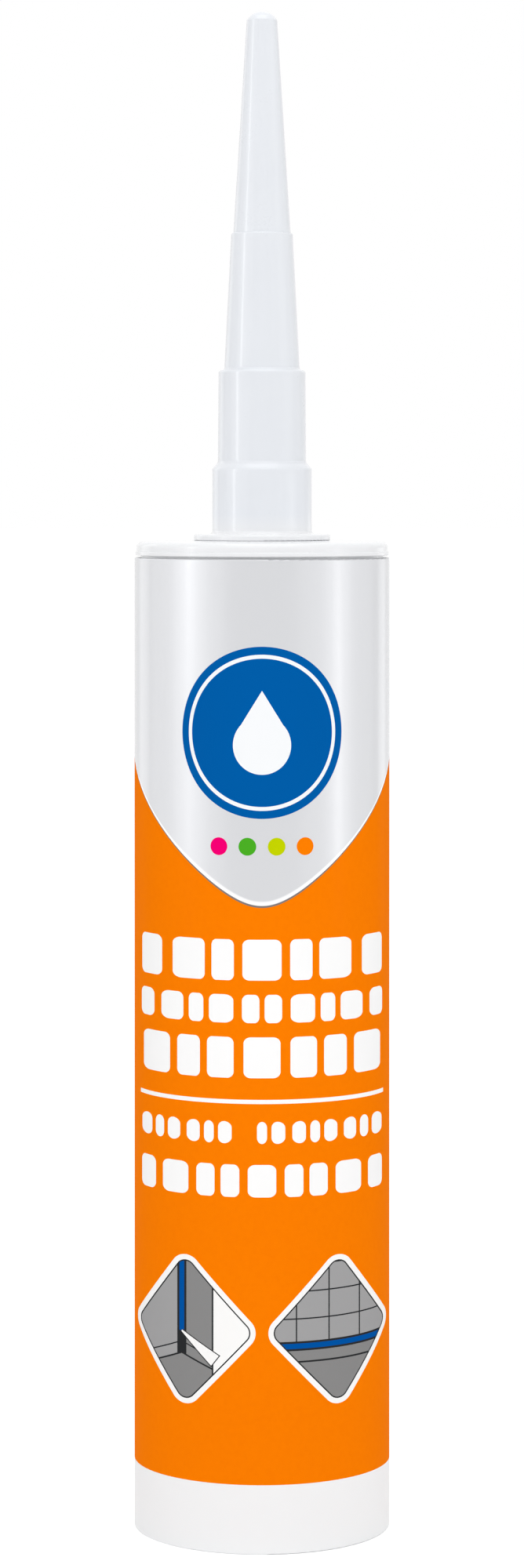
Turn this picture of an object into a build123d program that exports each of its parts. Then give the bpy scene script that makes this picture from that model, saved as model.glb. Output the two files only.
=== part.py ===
from build123d import *

import os

# A caulk cartridge: barrel, head with a threaded neck, screw-on nozzle, piston and sealant fill.
# Millimetres. The barrel's axis is Z and the origin lies on it, in the plane of the open rear rim.
# The nozzle points up, and the decorated front of the barrel faces -Y.

os.makedirs("parts", exist_ok=True)

# Barrel: an extruded tube, open at the rear, with a slightly wider rear mouth for the piston.
barrel_diameter = 50.0
barrel_wall = 1.6
barrel_length = 189.6
barrel_edge = 0.25  # rounding of the rim edges
mouth_depth = 6.0
mouth_step = 0.2  # how much wider than the bore the mouth is, on the radius
mouth_cone = 1.2  # length of the cone between the mouth and the bore

# Head: a round plate with a plug skirt inside the barrel and a threaded neck in its middle.
groove_height = 0.45  # shadow gap between the barrel's rim and the head's lip
groove_depth = 1.2  # of that gap, from the barrel's outside
lip_inset = 0.12  # lip, from the barrel's outside
lip_height = 0.8
rim_inset = 0.35  # rim above the lip, from the barrel's outside
rim_height = 2.65  # from the underside of the lip to the edge of the plate
rim_rounding = 1.1
plate_rise = 0.25  # from the edge of the plate to the nozzle's flat seat in its middle
plate_thickness = 1.95  # under the seat
skirt_depth = 5.0  # how far the plug skirt reaches into the barrel
skirt_wall = 1.3
seat_margin = 0.5  # how far the seat reaches past the nozzle's flange

# Neck: a plain boss, then a threaded length, then a tip that a membrane closes.
neck_radius = 6.35  # at the root of the thread
neck_wall = 1.15
neck_height = 20.0  # above the plate
neck_tip_inset = 1.0
neck_tip_height = 2.4
membrane_thickness = 0.9
boss_step = 2.05  # the boss's radius past the neck's
boss_height = 5.0

# Thread: a coarse ridge, as on a bottle, on the neck and again in the nozzle.
thread_pitch = 3.0
thread_height = 0.75
thread_root_width = 1.5
thread_crest_width = 0.7
thread_turns = 3.5
thread_start = 6.8  # height of the ridge's lower end above the plate
thread_bite = 0.25  # how deep the ridge is sunk into its wall
thread_gap = 0.1  # between the two ridges' crests
socket_thread_height = 0.45

# Nozzle: one stepped, tapering moulding with a flange at its foot and a closed tip.
socket_clearance = 0.15  # around the boss
socket_headroom = 0.8  # above the boss and above the neck's tip
flange_width = 3.62
flange_height = 1.2  # above the plate, at the flange's edge
flange_rise = 0.15  # from there in to the grip
grip_step = 1.11  # how far the grip stands out past the shank
shoulder_height = 1.15  # of the slope from the grip up to the shank
grip_height = 14.1  # heights of the four stages' tops above the plate
shank_height = 33.45
lower_taper_height = 60.25
upper_taper_height = 102.15
shank_wall = 0.9
shank_draft = 0.12
shank_step = 1.13  # from the shank in to the lower taper
lower_taper = 1.37  # how much the radius shrinks along the lower taper
lower_taper_wall = 1.15
lower_taper_step = 0.41
upper_taper_top_radius = 3.0
upper_taper_wall = 1.0
step_thickness = 1.2  # of the moulding across each step, along the axis
dome_height = 1.7
tip_thickness = 1.5

# Piston: a ribbed cup that is pushed up the barrel from behind.
piston_recess = 9.0  # from the rear rim to the piston's rear edge
piston_height = 17.0
piston_clearance = 0.08  # between its two lips and the bore
piston_lip_height = 1.6
piston_waist_inset = 0.6  # of the skirt between the lips
piston_skirt_wall = 1.4
crown_thickness = 1.6
crown_chamfer = 0.8
hub_radius = 6.0
rib_thickness = 1.2
rib_height = 3.4  # of the ribs and the hub on the back of the crown
rib_count = 8

# Sealant: it fills the barrel from the piston's crown to the neck's membrane.
fill_gap = 0.1  # above the crown

barrel_radius = barrel_diameter / 2
bore_radius = barrel_radius - barrel_wall
lip_underside = barrel_length + groove_height
lip_top = lip_underside + lip_height
rim_top = lip_underside + rim_height
plate_top = rim_top + plate_rise
plate_underside = plate_top - plate_thickness
skirt_end = barrel_length - skirt_depth
boss_radius = neck_radius + boss_step
boss_top = plate_top + boss_height
neck_top = plate_top + neck_height
neck_bore_radius = neck_radius - neck_wall
membrane_underside = neck_top - membrane_thickness
thread_bottom = plate_top + thread_start


def circles_at(part, height, radius):
    # The circular edges of a turned part at one height and radius.
    tolerance = 0.01
    level = part.edges().filter_by(GeomType.CIRCLE).filter_by_position(
        Axis.Z, height - tolerance, height + tolerance
    )
    return level.filter_by(lambda edge: abs(edge.radius - radius) < tolerance)


def thread_ridge(wall_radius, ridge_height, bottom, side):
    # A helical ridge on a round wall, outwards for side = 1 and inwards for side = -1.
    half_root = thread_root_width / 2
    half_crest = thread_crest_width / 2
    crest = side * (thread_bite + ridge_height)
    with BuildPart() as ridge:
        with BuildLine():
            path = Helix(
                pitch=thread_pitch,
                height=thread_pitch * thread_turns,
                radius=wall_radius - side * thread_bite,
                center=(0, 0, bottom),
            )
        with BuildSketch(Plane(origin=path @ 0, x_dir=(1, 0, 0), z_dir=path % 0)):
            with BuildLine():
                Polyline(
                    (0, -half_root),
                    (side * thread_bite, -half_root),
                    (crest, -half_crest),
                    (crest, half_crest),
                    (side * thread_bite, half_root),
                    (0, half_root),
                    close=True,
                )
            make_face()
        sweep(path=path, is_frenet=True)
    return ridge.part


# Barrel.
mouth_radius = bore_radius + mouth_step

with BuildPart() as barrel:
    with BuildSketch(Plane.XZ):
        with BuildLine():
            Polyline(
                (mouth_radius, 0),
                (barrel_radius, 0),
                (barrel_radius, barrel_length),
                (bore_radius, barrel_length),
                (bore_radius, mouth_depth + mouth_cone),
                (mouth_radius, mouth_depth),
                close=True,
            )
        make_face()
    revolve(axis=Axis.Z)
    fillet(circles_at(barrel, 0, barrel_radius), radius=barrel_edge)
    fillet(circles_at(barrel, 0, mouth_radius), radius=barrel_edge)
    fillet(circles_at(barrel, barrel_length, barrel_radius), radius=barrel_edge)
barrel.part.label = "barrel"

# Nozzle sizes that the head's seat depends on.
socket_radius = boss_radius + socket_clearance
neck_crest_radius = neck_radius + thread_height
thread_bore_radius = neck_crest_radius + thread_gap + socket_thread_height
shank_top_radius = thread_bore_radius + shank_wall
shank_foot_radius = shank_top_radius + shank_draft
grip_radius = shank_foot_radius + grip_step
flange_radius = grip_radius + flange_width

# Head, with its neck.
rim_radius = barrel_radius - rim_inset
lip_radius = barrel_radius - lip_inset
groove_radius = barrel_radius - groove_depth
skirt_bore_radius = bore_radius - skirt_wall
seat_radius = flange_radius + seat_margin
neck_ridge = thread_ridge(neck_radius, thread_height, thread_bottom, 1)

with BuildPart() as head:
    with BuildSketch(Plane.XZ):
        with BuildLine():
            Polyline(
                (0, membrane_underside),
                (neck_bore_radius, membrane_underside),
                (neck_bore_radius, plate_underside),
                (skirt_bore_radius, plate_underside),
                (skirt_bore_radius, skirt_end),
                (bore_radius, skirt_end),
                (bore_radius, barrel_length),
                (groove_radius, barrel_length),
                (groove_radius, lip_underside),
                (lip_radius, lip_underside),
                (lip_radius, lip_top),
                (rim_radius, lip_top),
                (rim_radius, rim_top),
                (seat_radius, plate_top),
                (boss_radius, plate_top),
                (boss_radius, boss_top),
                (neck_radius, boss_top),
                (neck_radius, neck_top - neck_tip_height),
                (neck_radius - neck_tip_inset, neck_top),
                (0, neck_top),
                close=True,
            )
        make_face()
    revolve(axis=Axis.Z)
    fillet(circles_at(head, rim_top, rim_radius), radius=rim_rounding)
    fillet(circles_at(head, lip_top, lip_radius), radius=0.22)
    fillet(circles_at(head, lip_underside, lip_radius), radius=0.15)
    fillet(circles_at(head, boss_top, boss_radius), radius=0.5)
    fillet(circles_at(head, neck_top, neck_radius - neck_tip_inset), radius=0.6)
    fillet(circles_at(head, plate_underside, neck_bore_radius), radius=0.8)
    chamfer(circles_at(head, skirt_end, skirt_bore_radius), length=skirt_wall / 2)
    add(neck_ridge)
head.part.label = "cartridge_head"

# Nozzle.
flange_top = plate_top + flange_height
grip_foot = flange_top + flange_rise
grip_top = plate_top + grip_height
shank_foot = grip_top + shoulder_height
shank_top = plate_top + shank_height
lower_taper_end = plate_top + lower_taper_height
upper_taper_end = plate_top + upper_taper_height
nozzle_top = upper_taper_end + dome_height
socket_top = boss_top + socket_headroom
thread_bore_top = neck_top + socket_headroom
shank_bore_radius = thread_bore_radius - socket_thread_height
lower_taper_foot_radius = shank_top_radius - shank_step
lower_taper_top_radius = lower_taper_foot_radius - lower_taper
upper_taper_foot_radius = lower_taper_top_radius - lower_taper_step
# The nozzle's ridge runs midway between the turns of the neck's.
socket_ridge = thread_ridge(thread_bore_radius, socket_thread_height, thread_bottom + thread_pitch / 2, -1)

with BuildPart() as nozzle:
    with BuildSketch(Plane.XZ):
        with BuildLine():
            Polyline(
                (0, nozzle_top - tip_thickness),
                (upper_taper_top_radius - upper_taper_wall, nozzle_top - tip_thickness),
                (upper_taper_foot_radius - upper_taper_wall, lower_taper_end - step_thickness),
                (lower_taper_top_radius - lower_taper_wall, lower_taper_end - step_thickness),
                (lower_taper_foot_radius - lower_taper_wall, shank_top - step_thickness),
                (shank_bore_radius, shank_top - step_thickness),
                (shank_bore_radius, thread_bore_top),
                (thread_bore_radius, thread_bore_top),
                (thread_bore_radius, socket_top),
                (socket_radius, socket_top),
                (socket_radius, plate_top),
                (flange_radius, plate_top),
                (flange_radius, flange_top),
                (grip_radius, grip_foot),
                (grip_radius, grip_top),
                (shank_foot_radius, shank_foot),
                (shank_top_radius, shank_top),
                (lower_taper_foot_radius, shank_top),
                (lower_taper_top_radius, lower_taper_end),
                (upper_taper_foot_radius, lower_taper_end),
                (upper_taper_top_radius, upper_taper_end),
            )
            TangentArc((0, nozzle_top), (upper_taper_top_radius, upper_taper_end), tangent=(1, 0))
            Line((0, nozzle_top), (0, nozzle_top - tip_thickness))
        make_face()
    revolve(axis=Axis.Z)
    fillet(circles_at(nozzle, plate_top, flange_radius), radius=0.25)
    fillet(circles_at(nozzle, flange_top, flange_radius), radius=0.4)
    fillet(circles_at(nozzle, grip_foot, grip_radius), radius=0.6)
    fillet(circles_at(nozzle, grip_top, grip_radius), radius=0.8)
    fillet(circles_at(nozzle, shank_foot, shank_foot_radius), radius=0.9)
    fillet(circles_at(nozzle, shank_top, shank_top_radius), radius=0.65)
    fillet(circles_at(nozzle, shank_top, lower_taper_foot_radius), radius=0.45)
    fillet(circles_at(nozzle, lower_taper_end, lower_taper_top_radius), radius=0.25)
    fillet(circles_at(nozzle, lower_taper_end, upper_taper_foot_radius), radius=0.12)
    fillet(circles_at(nozzle, plate_top, socket_radius), radius=0.4)
    add(socket_ridge)
nozzle.part.label = "nozzle"

# Piston.
piston_lip_radius = bore_radius - piston_clearance
piston_waist_radius = piston_lip_radius - piston_waist_inset
piston_cup_radius = piston_waist_radius - piston_skirt_wall
piston_crown = piston_recess + piston_height
front_lip_foot = piston_crown - piston_lip_height
rear_lip_top = piston_recess + piston_lip_height

with BuildPart() as piston:
    with BuildSketch(Plane.XZ):
        with BuildLine():
            Polyline(
                (0, piston_crown),
                (piston_lip_radius, piston_crown),
                (piston_lip_radius, front_lip_foot),
                (piston_waist_radius, front_lip_foot - piston_waist_inset),
                (piston_waist_radius, rear_lip_top + piston_waist_inset),
                (piston_lip_radius, rear_lip_top),
                (piston_lip_radius, piston_recess),
                (piston_cup_radius, piston_recess),
                (piston_cup_radius, piston_crown - crown_thickness),
                (0, piston_crown - crown_thickness),
                close=True,
            )
        make_face()
    revolve(axis=Axis.Z)
    with BuildSketch(Plane.XY.offset(piston_crown - crown_thickness - rib_height)):
        Circle(hub_radius)
        with PolarLocations((hub_radius + piston_cup_radius) / 2, rib_count):
            Rectangle(piston_cup_radius - hub_radius + rib_thickness, rib_thickness)
        Circle(hub_radius - rib_thickness, mode=Mode.SUBTRACT)
    extrude(amount=rib_height)
    chamfer(circles_at(piston, piston_crown, piston_lip_radius), length=crown_chamfer)
    fillet(circles_at(piston, piston_recess, piston_lip_radius), radius=0.5)
    fillet(circles_at(piston, piston_recess, piston_cup_radius), radius=0.5)
piston.part.label = "piston"

# Sealant: drawn up into the plate, then cut back to the head's own underside.
inside_plate = (plate_underside + plate_top) / 2

with BuildPart() as sealant:
    with BuildSketch(Plane.XZ):
        with BuildLine():
            Polyline(
                (0, piston_crown + fill_gap),
                (bore_radius, piston_crown + fill_gap),
                (bore_radius, inside_plate),
                (neck_bore_radius, inside_plate),
                (neck_bore_radius, membrane_underside),
                (0, membrane_underside),
                close=True,
            )
        make_face()
    revolve(axis=Axis.Z)
    add(head.part, mode=Mode.SUBTRACT)
sealant.part.label = "sealant"

for piece in (barrel, head, nozzle, piston, sealant):
    export_step(piece.part, f"parts/{piece.part.label}.step")
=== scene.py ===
import math

import bpy
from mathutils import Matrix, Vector


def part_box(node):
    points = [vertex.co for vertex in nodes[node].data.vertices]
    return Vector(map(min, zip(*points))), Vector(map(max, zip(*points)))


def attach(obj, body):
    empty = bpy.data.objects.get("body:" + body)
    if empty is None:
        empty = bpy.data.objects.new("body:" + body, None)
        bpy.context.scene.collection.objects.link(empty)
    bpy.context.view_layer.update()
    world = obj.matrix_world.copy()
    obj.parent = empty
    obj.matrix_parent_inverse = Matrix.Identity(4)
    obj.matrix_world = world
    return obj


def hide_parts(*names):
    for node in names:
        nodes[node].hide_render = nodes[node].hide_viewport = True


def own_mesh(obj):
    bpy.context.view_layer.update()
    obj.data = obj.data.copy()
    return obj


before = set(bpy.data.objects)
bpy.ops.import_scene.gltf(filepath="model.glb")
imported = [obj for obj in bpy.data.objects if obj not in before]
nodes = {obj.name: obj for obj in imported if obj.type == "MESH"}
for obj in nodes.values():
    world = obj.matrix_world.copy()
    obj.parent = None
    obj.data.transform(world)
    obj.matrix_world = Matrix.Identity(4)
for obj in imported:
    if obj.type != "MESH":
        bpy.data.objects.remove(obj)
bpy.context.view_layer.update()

mm = 0.001  # scene units are metres

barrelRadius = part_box("barrel")[1].x / mm
nozzleFoot, nozzleTop = (corner.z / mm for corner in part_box("nozzle"))
print("frame loaded: the cartridge stands", round(nozzleTop, 1), "mm tall")


# Node maths as Python expressions. A wire is a node's output, or a sum, product or comparison of some.
class Wire:
    def __init__(self, graph, socket):
        self.graph = graph
        self.socket = socket

    def maths(self, operation, *values, **settings):
        return self.graph.node("ShaderNodeMath", dict(operation=operation, **settings), list(values))

    def __neg__(self):
        return self * -1.0

    def __abs__(self):
        return self.maths("ABSOLUTE", self)


operators = {
    "add": "ADD", "sub": "SUBTRACT", "mul": "MULTIPLY", "truediv": "DIVIDE",
    "mod": "FLOORED_MODULO", "lt": "LESS_THAN", "gt": "GREATER_THAN", "and": "MINIMUM", "or": "MAXIMUM",
}
for name, operation in operators.items():
    setattr(Wire, f"__{name}__", lambda a, b, kind=operation: a.maths(kind, a, b))
    setattr(Wire, f"__r{name}__", lambda a, b, kind=operation: a.maths(kind, b, a))


def root(value):
    return value.maths("SQRT", value)


def sine(value):
    return value.maths("SINE", value)


def clamped(value):
    return value.maths("ADD", value, 0.0, use_clamp=True)


def ramp(value, low, high):  # 0 at low, 1 at high
    return clamped((value - low) / (high - low))


def bell(value, width):  # 1 at 0, falling away to both sides
    return value.maths("EXPONENT", (value / width) * (value / width) * -1.0)


def tone(red, green, blue):  # a paint chart's 0 to 255 as scene light
    parts = [part / 255 for part in (red, green, blue)]
    return (*[p / 12.92 if p <= 0.04045 else ((p + 0.055) / 1.055) ** 2.4 for p in parts], 1.0)


# Nodes made and linked in a tree.
class Graph:
    def __init__(self, tree):
        self.tree = tree

    def node(self, kind, settings=None, inputs=None, output=0):
        made = self.tree.nodes.new(kind)
        for key, value in (settings or {}).items():
            setattr(made, key, value)
        pairs = enumerate(inputs) if isinstance(inputs, list) else (inputs or {}).items()
        for key, value in pairs:
            self.feed(made.inputs[key], value)
        return Wire(self, made.outputs[output])

    def feed(self, socket, value):
        if isinstance(value, Wire):
            self.tree.links.new(value.socket, socket)
        else:
            socket.default_value = value

    def outputs(self, wire, *names):  # the other outputs of the node that a wire leaves
        return [Wire(self, wire.socket.node.outputs[name]) for name in names]


# A material and the nodes that paint it.
class Finish(Graph):
    def __init__(self, name, values):
        self.data = bpy.data.materials.new(name)
        self.data.use_nodes = True
        super().__init__(self.data.node_tree)
        self.tree.nodes.clear()
        self.shader = self.tree.nodes.new("ShaderNodeBsdfPrincipled")
        output = self.tree.nodes.new("ShaderNodeOutputMaterial")
        self.tree.links.new(self.shader.outputs[0], output.inputs["Surface"])
        for socketName, value in values.items():
            self.paint(socketName, value)

    def paint(self, socketName, value):
        self.feed(self.shader.inputs[socketName], value)

    def place(self):  # Object coordinates in millimetres, as a point and as its three numbers
        raw = self.node("ShaderNodeTexCoord", output="Object")
        point = self.vector("SCALE", {0: raw, "Scale": 1 / mm})
        split = self.node("ShaderNodeSeparateXYZ", None, [point])
        return point, *self.outputs(split, "X", "Y", "Z")

    def vector(self, operation, inputs):
        return self.node("ShaderNodeVectorMath", {"operation": operation}, inputs)

    def stretched(self, point, x, y, z):
        return self.vector("MULTIPLY", [point, (x, y, z)])

    def noise(self, point, scale, detail):
        sizes = {"Vector": point, "Scale": scale, "Detail": detail}
        return self.node("ShaderNodeTexNoise", None, sizes)

    def over(self, under, mask, colour):  # lays a colour over another where the mask is 1
        return self.node("ShaderNodeMix", {"data_type": "RGBA"}, {0: mask, 6: under, 7: colour}, 2)

    def bump(self, height, distance, strength):
        sizes = {"Height": height, "Distance": distance, "Strength": strength}
        self.paint("Normal", self.node("ShaderNodeBump", None, sizes))


def dress(piece, finish):
    piece.data.materials.clear()
    piece.data.materials.append(finish.data)


# Barrel: an extruded white tube, printed all round with a pale grey shield on an orange field.
printing = {
    "white": tone(247, 248, 249),
    "orange": tone(255, 128, 0),
    "deepOrange": tone(248, 116, 0),
    "mottling": (0.4, 0.8, 0.3),  # the noise from and to which the orange deepens, and how much
    "orangeFoot": 13.3,  # heights are above the rear rim
    "inkDepth": 0.3,  # how far inside the outer wall the ink still counts as on it
    "shieldGloss": 0.9,  # coat weights
    "inkGloss": 0.02,
    "bareGloss": 0.3,
}
tubeSurface = {
    "fineScale": 0.9, "drawn": (1.6, 1.6, 0.02),  # draw lines run up the tube, from the extrusion
    "roughness": 0.27, "fineRoughness": 0.05, "drawnRoughness": 0.05, "bareRoughness": 0.12,
    "fineBump": 0.4, "drawnBump": 0.6, "bumpDistance": 0.00002, "bump": 0.35,
}
shield = {
    "grey": tone(212, 213, 216), "metal": 0.35,
    "tip": 123.3, "rise": 28.0, "slope": 0.92, "rounding": 7.6, "shoulderRounding": 2.5,
    "steepens": (2.0, 12.0), "steepness": 0.32,  # turn a height into a distance from the edge
    # The edge has a dark line and then a bright one, both wider near the tip.
    "dark": tone(128, 122, 118), "darkWidth": 0.2, "darkAtTip": 0.24, "darkSharpness": 0.75,
    "bright": tone(250, 250, 251), "brightWidth": 0.4, "brightAtTip": 0.5, "brightSharpness": 0.6,
    "tipReach": 14.0,
}
# The front's small print is drawn wider towards its sides, so that it reads evenly from the front.
evening = 0.85
ruleLine = {"height": 86.3, "thickness": 0.8, "reach": 25.4}
# Rows of blocks: middle height, block height, blocks in the row, gap, waves of wide and narrow, and
# the place of a block that is left out (none for -1).
blockRows = [
    (113.3, 7.8, 7, 1.7, 3, -1),
    (104.0, 5.4, 10, 1.3, 4, -1),
    (94.7, 7.8, 7, 1.7, -2, -1),
    (80.4, 4.2, 15, 1.0, -5, 6),
    (71.2, 6.2, 9, 1.5, 3, -1),
]
blockShape = {"reach": 25.6, "corner": 1.2, "waver": 0.13, "white": tone(255, 255, 255)}
emblem = {
    "height": 156.6, "radius": 16.4, "ring": 14.5, "ringWidth": 0.75,
    "dropRadius": 5.6, "dropSink": 2.4, "dropTip": 10.4, "dropShoulder": 2.9, "dropSlope": 0.62,
    "blue": tone(0, 92, 168), "white": tone(248, 250, 252),
    "dotRadius": 1.7, "dotPitch": 5.6, "dotHeight": 134.9,
    "dots": [tone(246, 0, 116), tone(74, 174, 36), tone(196, 211, 0), tone(255, 128, 0)],
}
window = {
    "across": 14.9, "height": 42.2, "outward": 12.1, "inward": 14.3, "upright": 15.2,
    "corner": 3.1, "border": 1.0, "outline": 0.25,
    "grey": tone(140, 140, 140), "paleGrey": tone(165, 165, 166), "ink": tone(44, 46, 48),
    "bead": tone(0, 84, 166), "white": tone(254, 254, 253),
}
# The left panel's drawing: the corner of a room, with a doorway and a spout laying a bead.
room = {
    "corner": 0.8, "cornerLine": 0.95, "floor": 4.6, "floorSlope": 0.42, "floorLine": 0.17,
    "skirting": 2.2, "skirtingLine": 0.13, "doorway": 5.4, "doorLine": 0.16, "bead": 0.5, "beadFoot": -0.4,
}
spout = {"run": 0.79, "drop": 0.61, "length": 8.6, "taper": 0.13, "tip": 0.15, "line": 0.2}
# The right panel's drawing: a tiled wall above a worktop, with a bead along their joint.
wall = {
    "joint": 2.6, "jointLine": 0.9, "bead": 0.5, "rowPitch": 5.2, "columnPitch": 6.4, "columnStart": 1.9,
    "tileLine": 0.13, "worktop": 5.6, "worktopLine": 0.17,
}

# The back's plain panel: bars in two columns stand where the small print would be.
backPanel = {
    "height": 66.0, "halfWidth": 31.0, "halfHeight": 42.0, "corner": 3.0,
    "columnMiddle": 14.6, "columnReach": 12.2, "ragged": 1.3, "raggedWave": 1.9,
    "rowPitch": 3.3, "bar": 1.1, "textTop": 94.0, "textFoot": 30.0,
    "paragraphWave": 0.37, "paragraphGap": -0.93,
    "headingHeight": 100.5, "headingReach": 20.0, "headingHalfHeight": 1.9, "headingCorner": 0.9,
    "white": tone(246, 246, 246), "ink": tone(122, 124, 128), "heading": tone(0, 92, 168),
}


def box(along, up, halfWidth, halfHeight, corner):  # signed distance to a rounded rectangle
    overX = abs(along) - (halfWidth - corner)
    overZ = abs(up) - (halfHeight - corner)
    outside = root((overX | 0.0) * (overX | 0.0) + (overZ | 0.0) * (overZ | 0.0))
    return outside + ((overX | overZ) & 0.0) - corner


def diamond(along, up, halfWidth, halfHeight, corner):  # signed distance to a rounded diamond
    width = halfWidth - corner * 1.2  # a little more than the corner, so that its tips draw in
    height = halfHeight - corner * 1.3
    x = abs(along)
    z = abs(up)
    turn = ((width - x * 2.0) * width - (height - z * 2.0) * height) / (width * width + height * height)
    turn = (turn | -1.0) & 1.0
    nearX = x - (1.0 - turn) * width * 0.5
    nearZ = z - (turn + 1.0) * height * 0.5
    inside = (x * height + z * width - width * height) < 0.0
    return root(nearX * nearX + nearZ * nearZ) * (1.0 - inside * 2.0) - corner


def ruled(value, pitch, halfLine):  # lines at every pitch
    return abs(value % pitch - pitch / 2) > pitch / 2 - halfLine


def printShield(finish, colour, along, up):
    rise = root(along * along + shield["rounding"] ** 2) - shield["rounding"]
    slope = rise * shield["slope"]
    spread = slope - shield["rise"]
    softened = root(spread * spread + shield["shoulderRounding"] ** 2)
    edge = (slope + shield["rise"] - softened) * 0.5 + shield["tip"]
    inward = (up - edge) / (1.0 + ramp(abs(along), *shield["steepens"]) * shield["steepness"])
    nearTip = bell(along, shield["tipReach"])
    darkWidth = nearTip * shield["darkAtTip"] + shield["darkWidth"]
    brightWidth = nearTip * shield["brightAtTip"] + shield["brightWidth"]
    colour = finish.over(colour, inward > 0.0, shield["dark"])
    pastBright = ramp(inward - darkWidth, brightWidth * shield["brightSharpness"], brightWidth)
    field = finish.over(shield["bright"], pastBright, shield["grey"])
    onShield = ramp(inward, darkWidth * shield["darkSharpness"], darkWidth)
    return finish.over(colour, onShield, field), onShield


def printBlocks(finish, colour, along, up):
    reach = blockShape["reach"]
    within = abs(along) < reach
    inked = None
    for height, blockHeight, count, gap, waves, leftOut in blockRows:
        pitch = 2 * reach / count
        waver = sine((along + reach) * (math.pi * waves / reach)) * blockShape["waver"]
        cell = (along + reach) / pitch + waver
        place = (cell % 1.0 - 0.5) * pitch
        block = box(place, up - height, (pitch - gap) / 2, blockHeight / 2, blockShape["corner"]) < 0.0
        block = block & (abs(cell - leftOut - 0.5) > 0.5)
        inked = block if inked is None else inked | block
    line = abs(up - ruleLine["height"]) < ruleLine["thickness"] / 2
    rule = line & (abs(along) < ruleLine["reach"])
    return finish.over(colour, (inked & within) | rule, blockShape["white"])


def printEmblem(finish, colour, along, up):
    rise = up - emblem["height"]
    away = root(along * along + rise * rise)
    onEmblem = away < emblem["radius"]
    colour = finish.over(colour, onEmblem, emblem["blue"])
    ring = abs(away - emblem["ring"]) < emblem["ringWidth"] / 2
    # A drop: a circle with two straight sides drawn up to its tip.
    foot = rise + emblem["dropSink"]
    belly = root(along * along + foot * foot) < emblem["dropRadius"]
    sides = abs(along) < (emblem["dropTip"] - foot) * emblem["dropSlope"]
    taper = sides & (foot > emblem["dropShoulder"]) & (foot < emblem["dropTip"])
    colour = finish.over(colour, ring | belly | taper, emblem["white"])
    for count, dot in enumerate(emblem["dots"]):
        across = along - (count - 1.5) * emblem["dotPitch"]
        down = up - emblem["dotHeight"]
        onDot = root(across * across + down * down) < emblem["dotRadius"]
        colour = finish.over(colour, onDot, dot)
        onEmblem = onEmblem | onDot
    return colour, onEmblem


def roomPicture(finish, u, v):
    fromCorner = u - room["corner"]
    overFloor = v + room["floor"] + abs(fromCorner) * room["floorSlope"]
    picture = finish.over(window["grey"], (fromCorner > 0.0) & (overFloor > 0.0), window["paleGrey"])
    doorway = u < -room["doorway"]
    picture = finish.over(picture, doorway, window["white"])
    skirting = abs(overFloor - room["skirting"]) < room["skirtingLine"]
    corner = (abs(fromCorner) < room["cornerLine"]) & (overFloor > 0.0)
    lines = (abs(overFloor) < room["floorLine"]) | skirting | corner
    lines = (lines & (1.0 - doorway)) | (abs(u + room["doorway"]) < room["doorLine"])
    picture = finish.over(picture, lines, window["ink"])
    bead = (abs(fromCorner) < room["bead"]) & (v > room["beadFoot"])
    picture = finish.over(picture, bead, window["bead"])
    # The spout lies slantwise, with its tip on the bead's lower end.
    leftwards = -fromCorner
    upwards = v - room["beadFoot"]
    reach = leftwards * spout["run"] - upwards * spout["drop"]
    aside = abs(leftwards * spout["drop"] + upwards * spout["run"])
    halfWidth = reach * spout["taper"] + spout["tip"]
    outlined = (reach > 0.0) & (reach < spout["length"]) & (aside < halfWidth + spout["line"])
    filled = (reach > 0.0) & (reach < spout["length"] - spout["line"]) & (aside < halfWidth)
    picture = finish.over(picture, outlined, window["ink"])
    return finish.over(picture, filled, window["white"])


def wallPicture(finish, u, v):
    overJoint = v + wall["joint"]
    picture = finish.over(window["grey"], overJoint > 0.0, window["paleGrey"])
    tileRows = ruled(overJoint, wall["rowPitch"], wall["tileLine"])
    tileColumns = ruled(u + wall["columnStart"], wall["columnPitch"], wall["tileLine"])
    tiles = (tileRows | tileColumns) & (overJoint > 0.0)
    worktop = abs(v + wall["worktop"]) < wall["worktopLine"]
    lines = tiles | worktop | (abs(overJoint) < wall["jointLine"])
    picture = finish.over(picture, lines, window["ink"])
    return finish.over(picture, abs(overJoint) < wall["bead"], window["bead"])


def printWindow(finish, colour, along, up, side, drawPicture):  # side is -1 for left and 1 for right
    u = (along - side * window["across"]) * side
    v = up - window["height"]
    halfWidth = (u > 0.0) * (window["outward"] - window["inward"]) + window["inward"]
    edge = diamond(u, v, halfWidth, window["upright"], window["corner"])
    colour = finish.over(colour, edge < 0.0, window["white"])
    outline = edge > -window["border"] - window["outline"]
    picture = finish.over(drawPicture(finish, u, v), outline, window["ink"])
    return finish.over(colour, edge < -window["border"], picture)


def printBack(finish, colour, along, up):
    turn = 2 * math.pi * barrelRadius
    behind = along % turn - turn / 2  # arc length from the middle of the back
    rise = up - backPanel["height"]
    panel = box(behind, rise, backPanel["halfWidth"], backPanel["halfHeight"], backPanel["corner"]) < 0.0
    colour = finish.over(colour, panel, backPanel["white"])
    row = up % backPanel["rowPitch"]
    wave = sine((up - row) * backPanel["raggedWave"]) * backPanel["ragged"]
    ragged = wave + backPanel["columnReach"] - backPanel["ragged"]
    column = abs(abs(behind) - backPanel["columnMiddle"]) < ragged
    bar = abs(row - backPanel["rowPitch"] / 2) < backPanel["bar"] / 2
    between = (up < backPanel["textTop"]) & (up > backPanel["textFoot"])
    paragraphs = sine((up - row) * backPanel["paragraphWave"]) > backPanel["paragraphGap"]
    colour = finish.over(colour, column & bar & between & paragraphs, backPanel["ink"])
    overHeading = up - backPanel["headingHeight"]
    halfHeight = backPanel["headingHalfHeight"]
    heading = box(behind, overHeading, backPanel["headingReach"], halfHeight, backPanel["headingCorner"])
    return finish.over(colour, heading < 0.0, backPanel["heading"])


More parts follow.
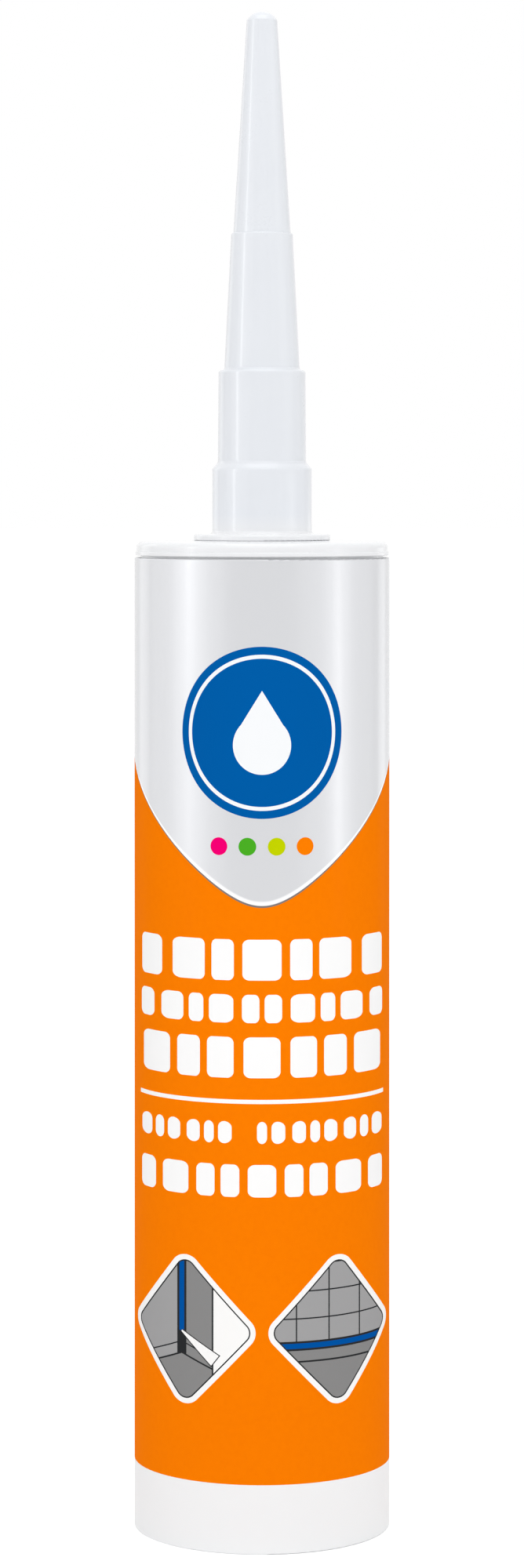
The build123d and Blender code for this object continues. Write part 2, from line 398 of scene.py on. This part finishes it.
def printedTube():
    finish = Finish("printed gloss tube", {"Specular IOR Level": 0.0, "Coat Roughness": 0.16})
    point, x, y, z = finish.place()
    along = x.maths("ARCTAN2", x, -y) * barrelRadius  # arc length round the wall from its front
    outer = root(x * x + y * y) > barrelRadius - printing["inkDepth"]
    inked = outer & (z > printing["orangeFoot"])
    fine = finish.noise(point, tubeSurface["fineScale"], 3.0)
    low, high, share = printing["mottling"]
    orange = finish.over(printing["orange"], ramp(fine, low, high) * share, printing["deepOrange"])
    colour, onShield = printShield(finish, orange, along, z)
    even = sine(along * (evening / barrelRadius)) * (barrelRadius / evening)
    even = even + (y > 0.0) * (4 * barrelRadius)  # past all of it, so that none shows on the back half
    colour = printBlocks(finish, colour, even, z)
    colour, onEmblem = printEmblem(finish, colour, along, z)
    colour = printWindow(finish, colour, even, z, -1, roomPicture)
    colour = printWindow(finish, colour, even, z, 1, wallPicture)
    colour = printBack(finish, colour, along, z)
    finish.paint("Base Color", finish.over(printing["white"], inked, colour))
    glossy = onShield & (1.0 - onEmblem)
    inkGloss = glossy * (printing["shieldGloss"] - printing["inkGloss"]) + printing["inkGloss"]
    finish.paint("Metallic", glossy & inked & shield["metal"])
    finish.paint("Coat Weight", inked * (inkGloss - printing["bareGloss"]) + printing["bareGloss"])
    drawn = finish.noise(finish.stretched(point, *tubeSurface["drawn"]), 1.0, 3.0)
    uneven = fine * tubeSurface["fineRoughness"] + drawn * tubeSurface["drawnRoughness"]
    bare = (1.0 - inked) * tubeSurface["bareRoughness"]
    finish.paint("Roughness", tubeSurface["roughness"] + uneven + bare)
    height = drawn * tubeSurface["drawnBump"] + fine * tubeSurface["fineBump"]
    finish.bump(height, tubeSurface["bumpDistance"], tubeSurface["bump"])
    return finish


dress(nodes["barrel"], printedTube())
print("barrel printed")


# White mouldings: head, nozzle and piston.
mouldings = {
    "headWhite": tone(236, 237, 239),
    "nozzleWhite": tone(227, 230, 235),
    "pistonWhite": tone(232, 232, 226),
    "shade": tone(205, 208, 214),
    "cloudScale": 0.12, "cloud": (0.35, 0.75, 0.06),  # the noise from and to which it shades, how much
    "fineScale": 2.2, "flow": (0.9, 0.9, 0.06), "flowShade": 0.03,  # melt lines run along the axis
    "cloudRoughness": 0.06, "fineRoughness": 0.04, "bumpDistance": 0.00002,
    "flange": 1.2,  # the nozzle's foot is painted in the head's paler white up to here, as painted light on the thin flange
    "footBlend": 4.0,  # and blends into its own over this height
}


def moulded(name, colour, roughness, grain, paintedLightFoot=0.0):  # painted paler below the height of its last argument, as painted light
    gloss = {"IOR": 1.48, "Specular IOR Level": 0.3, "Coat Weight": 0.8, "Coat Roughness": 0.12}
    finish = Finish(name, gloss)
    point, x, y, z = finish.place()
    cloud = finish.noise(point, mouldings["cloudScale"], 3.0)
    fine = finish.noise(point, mouldings["fineScale"], 2.0)
    flow = finish.noise(finish.stretched(point, *mouldings["flow"]), 1.0, 2.0)
    low, high, share = mouldings["cloud"]
    shade = ramp(cloud, low, high) * share + flow * mouldings["flowShade"]
    shaded = finish.over(colour, shade, mouldings["shade"])
    # Painted light: below the foot height the colour is painted paler, in the head's white, brighter than
    # the moulding's own colour.
    paintedLightAtFoot = 1.0 - ramp(z, paintedLightFoot, paintedLightFoot + mouldings["footBlend"])
    finish.paint("Base Color", finish.over(shaded, paintedLightAtFoot, mouldings["headWhite"]))
    uneven = cloud * mouldings["cloudRoughness"] + fine * mouldings["fineRoughness"]
    finish.paint("Roughness", roughness + uneven)
    finish.bump((fine + flow) * 0.5, mouldings["bumpDistance"], grain)
    return finish


flangeTop = nozzleFoot + mouldings["flange"]
mouldedPieces = {
    # node: its finish's name, colour, roughness, strength of the grain, and height below which its foot is
    # painted paler as painted light
    "cartridge_head": ("glossy white head", mouldings["headWhite"], 0.24, 0.25, 0.0),
    "nozzle": ("glossy white nozzle", mouldings["nozzleWhite"], 0.24, 0.2, flangeTop),
    "piston": ("waxy white piston", mouldings["pistonWhite"], 0.4, 0.4, 0.0),
}
for piece, values in mouldedPieces.items():
    dress(nodes[piece], moulded(*values))
print("mouldings finished")


# Sealant: columns of paste in the barrel, inside the head's skirt and in the neck, with faint folds.
paste = {
    "white": tone(243, 243, 240), "roughness": 0.35, "grain": 0.5,
    "clearance": 0.1,  # around each column
    "skirtRadius": 22.1,
    "neckRadius": 5.2,
    "plateUnderside": 191.0,
    "foldDepth": 0.15,
    "foldPitch": 9.0,
    "ringPitch": 1.5,
    "segments": 96,
    "left": 0.5,  # what the piston leaves of the barrel's column at the end of its stroke
}
pasteFoot, pasteTop = (corner.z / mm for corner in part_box("sealant"))
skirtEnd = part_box("cartridge_head")[0].z / mm
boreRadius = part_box("sealant")[1].x / mm
pasteFinish = moulded("white paste", paste["white"], paste["roughness"], paste["grain"])


def columnTree():
    # A closed cylinder whose wall swells and draws in along its height, by a sine rule.
    tree = bpy.data.node_groups.new("paste column", "GeometryNodeTree")
    for name in ("Radius", "Foot", "Top", "Fold Depth", "Fold Pitch"):
        tree.interface.new_socket(name, in_out="INPUT", socket_type="NodeSocketFloat")
    for name in ("Rings", "Segments"):
        tree.interface.new_socket(name, in_out="INPUT", socket_type="NodeSocketInt")
    tree.interface.new_socket("Geometry", in_out="OUTPUT", socket_type="NodeSocketGeometry")
    graph = Graph(tree)
    given = graph.node("NodeGroupInput")
    radius, foot, top, depth, pitch = graph.outputs(
        given, "Radius", "Foot", "Top", "Fold Depth", "Fold Pitch"
    )
    rings, segments = graph.outputs(given, "Rings", "Segments")
    shape = {"Vertices": segments, "Side Segments": rings, "Radius": radius, "Depth": top - foot}
    cylinder = graph.node("GeometryNodeMeshCylinder", None, shape)
    split = graph.node("ShaderNodeSeparateXYZ", None, [graph.node("GeometryNodeInputPosition")])
    x, y, z = graph.outputs(split, "X", "Y", "Z")
    wave = sine(z * math.pi / pitch)
    inward = 1.0 - wave * wave * depth / radius
    moved = graph.node("ShaderNodeCombineXYZ", None, [x * inward, y * inward, z + (foot + top) / 2])
    folded = graph.node("GeometryNodeSetPosition", None, {"Geometry": cylinder, "Position": moved})
    smooth = graph.node("GeometryNodeSetShadeSmooth", None, {"Geometry": folded})
    whole = graph.node("GeometryNodeRealizeInstances", None, [smooth])
    covered = graph.node("GeometryNodeSetMaterial", None, {"Geometry": whole, "Material": pasteFinish.data})
    graph.feed(tree.nodes.new("NodeGroupOutput").inputs["Geometry"], covered)
    return tree


def pasteColumn(name, tree, radius, foot, top):
    values = {
        "Radius": (radius - paste["clearance"]) * mm,
        "Foot": foot * mm,
        "Top": top * mm,
        "Fold Depth": paste["foldDepth"] * mm,
        "Fold Pitch": paste["foldPitch"] * mm,
        "Rings": max(2, round((top - foot) / paste["ringPitch"])),
        "Segments": paste["segments"],
    }
    column = bpy.data.objects.new(name, bpy.data.meshes.new(name))
    bpy.context.scene.collection.objects.link(column)
    modifier = column.modifiers.new("shape", "NODES")
    modifier.node_group = tree
    for item in tree.interface.items_tree:
        if item.in_out == "INPUT":
            modifier[item.identifier] = values[item.name]
    graph = bpy.context.evaluated_depsgraph_get()
    made = bpy.data.meshes.new_from_object(column.evaluated_get(graph))
    column.modifiers.clear()
    column.data = made
    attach(column, "cartridge")
    return column


tree = columnTree()
barrelPaste = pasteColumn("paste_in_barrel", tree, boreRadius, pasteFoot, skirtEnd)
skirtPaste = pasteColumn("paste_in_skirt", tree, paste["skirtRadius"], skirtEnd, paste["plateUnderside"])
neckPaste = pasteColumn("paste_in_neck", tree, paste["neckRadius"], paste["plateUnderside"], pasteTop)
for column in (barrelPaste, skirtPaste, neckPaste):
    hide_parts("sealant")
kept = paste["left"] / (skirtEnd - pasteFoot)
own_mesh(barrelPaste)
print("paste made")


# Studio: a plain pale floor, soft lamps and a level camera in front.
studio = {
    "floorSize": 40.0,
    "floorWhite": (0.8, 0.8, 0.8, 1),
    "floorSeen": (0.5, 0.5, 0.5, 1),
    "floorDark": (0, 0, 0, 1),
    "floorGlow": (0.7, 0.7, 0.7, 1),
    "world": 0.62,
    "cameraDistance": 0.820,
    "cameraHeight": 0.2033,
    "viewHeight": 0.308,  # what the frame spans, top to bottom, at the barrel's axis
    "horizonShift": -0.189,
    "sensor": 36.0,
    "lampDistance": 0.9,
    "lampTarget": (0, 0, 0.15),
}


def addLamp(name, place, target, size, watts, gives):  # it gives both, or only shine or fill
    light = bpy.data.lights.new(name, "AREA")
    light.shape = "RECTANGLE"
    light.size = size[0]
    light.size_y = size[1]
    light.energy = watts
    lamp = bpy.data.objects.new(name, light)
    lamp.location = place
    lamp.rotation_euler = (Vector(target) - Vector(place)).to_track_quat("-Z", "Y").to_euler()
    lamp.visible_diffuse = gives != "shine"
    lamp.visible_glossy = gives != "fill"
    bpy.context.scene.collection.objects.link(lamp)


def roundPlace(degrees, distance, height):  # degrees from the front, to the right
    turn = math.radians(degrees)
    return (math.sin(turn) * distance, -math.cos(turn) * distance, height)


levelLamps = {
    # name: degrees to the right of the front, height of the middle, width and height in metres, watts,
    # and what it gives
    "left strip": (-68, 0.09, 0.10, 0.18, 0.065, "both"),
    "upper left strip": (-68, 0.41, 0.10, 0.46, 0.47, "both"),
    "left panel": (-68, 0.25, 0.55, 0.9, 0.62, "both"),
    "left wash": (-75, 0.25, 1.6, 0.9, 1.75, "shine"),
    "left rim": (-133, 0.25, 0.34, 0.9, 0.5, "shine"),
    "right rim": (138, 0.095, 0.26, 0.19, 0.09, "shine"),
    "right strip": (72, 0.095, 0.12, 0.19, 0.135, "both"),
    "right panel": (72, 0.25, 0.45, 0.9, 0.47, "both"),
    "right wash": (75, 0.25, 1.6, 0.9, 1.3, "shine"),
}
highLamps = {
    # name: degrees, distance and height of the middle, width and height, watts, and what it gives
    "overhead": (0, 0.1, 1.3, 0.8, 0.8, 1.8, "both"),
    "front": (10, 0.9, 1.1, 0.7, 0.7, 6.2, "fill"),
    "back": (180, 0.9, 1.0, 0.9, 0.7, 3.0, "fill"),
}
for lampName, (degrees, above, width, height, watts, gives) in levelLamps.items():
    place = roundPlace(degrees, studio["lampDistance"], above)
    addLamp(lampName, place, (0, 0, above), (width, height), watts, gives)
for lampName, (degrees, distance, above, width, height, watts, gives) in highLamps.items():
    place = roundPlace(degrees, distance, above)
    addLamp(lampName, place, studio["lampTarget"], (width, height), watts, gives)


def seenPlainly(tree):  # 1 for the rays that should meet a plain white background
    rays = tree.nodes.new("ShaderNodeLightPath")
    seen = rays.outputs["Is Camera Ray"]
    for other in ("Is Glossy Ray", "Is Transmission Ray"):
        either = tree.nodes.new("ShaderNodeMath")
        either.operation = "MAXIMUM"
        tree.links.new(seen, either.inputs[0])
        tree.links.new(rays.outputs[other], either.inputs[1])
        seen = either.outputs[0]
    return seen


def paleFloor():
    # The floor glows a little where it is seen, so that it stays white and still holds a soft shadow.
    finish = Finish("pale floor", {"Roughness": 0.9, "Specular IOR Level": 0.0, "Emission Strength": 1.0})
    seen = Wire(finish, seenPlainly(finish.tree))
    finish.paint("Base Color", finish.over(studio["floorWhite"], seen, studio["floorSeen"]))
    finish.paint("Emission Color", finish.over(studio["floorDark"], seen, studio["floorGlow"]))
    return finish


floorMesh = bpy.data.meshes.new("floor")
half = studio["floorSize"] / 2
floorCorners = [(-half, -half, 0), (half, -half, 0), (half, half, 0), (-half, half, 0)]
floorMesh.from_pydata(floorCorners, [], [(0, 1, 2, 3)])
floor = bpy.data.objects.new("floor", floorMesh)
bpy.context.scene.collection.objects.link(floor)
dress(floor, paleFloor())

world = bpy.data.worlds.new("studio world")
bpy.context.scene.world = world
world.use_nodes = True
worldNodes = world.node_tree.nodes
strength = worldNodes.new("ShaderNodeMix")
background = worldNodes["Background"]
strength.inputs[2].default_value = studio["world"]
strength.inputs[3].default_value = 1.0
world.node_tree.links.new(seenPlainly(world.node_tree), strength.inputs[0])
world.node_tree.links.new(strength.outputs[0], background.inputs["Strength"])
background.inputs["Color"].default_value = (1, 1, 1, 1)

cameraData = bpy.data.cameras.new("camera")
cameraData.sensor_width = studio["sensor"]
cameraData.lens = studio["sensor"] * studio["cameraDistance"] / studio["viewHeight"]
cameraData.shift_y = studio["horizonShift"]
camera = bpy.data.objects.new("camera", cameraData)
camera.location = (0, -studio["cameraDistance"], studio["cameraHeight"])
camera.rotation_euler = (math.radians(90), 0, 0)
bpy.context.scene.collection.objects.link(camera)
bpy.context.scene.camera = camera
bpy.context.scene.view_settings.view_transform = "Standard"
print("studio built")
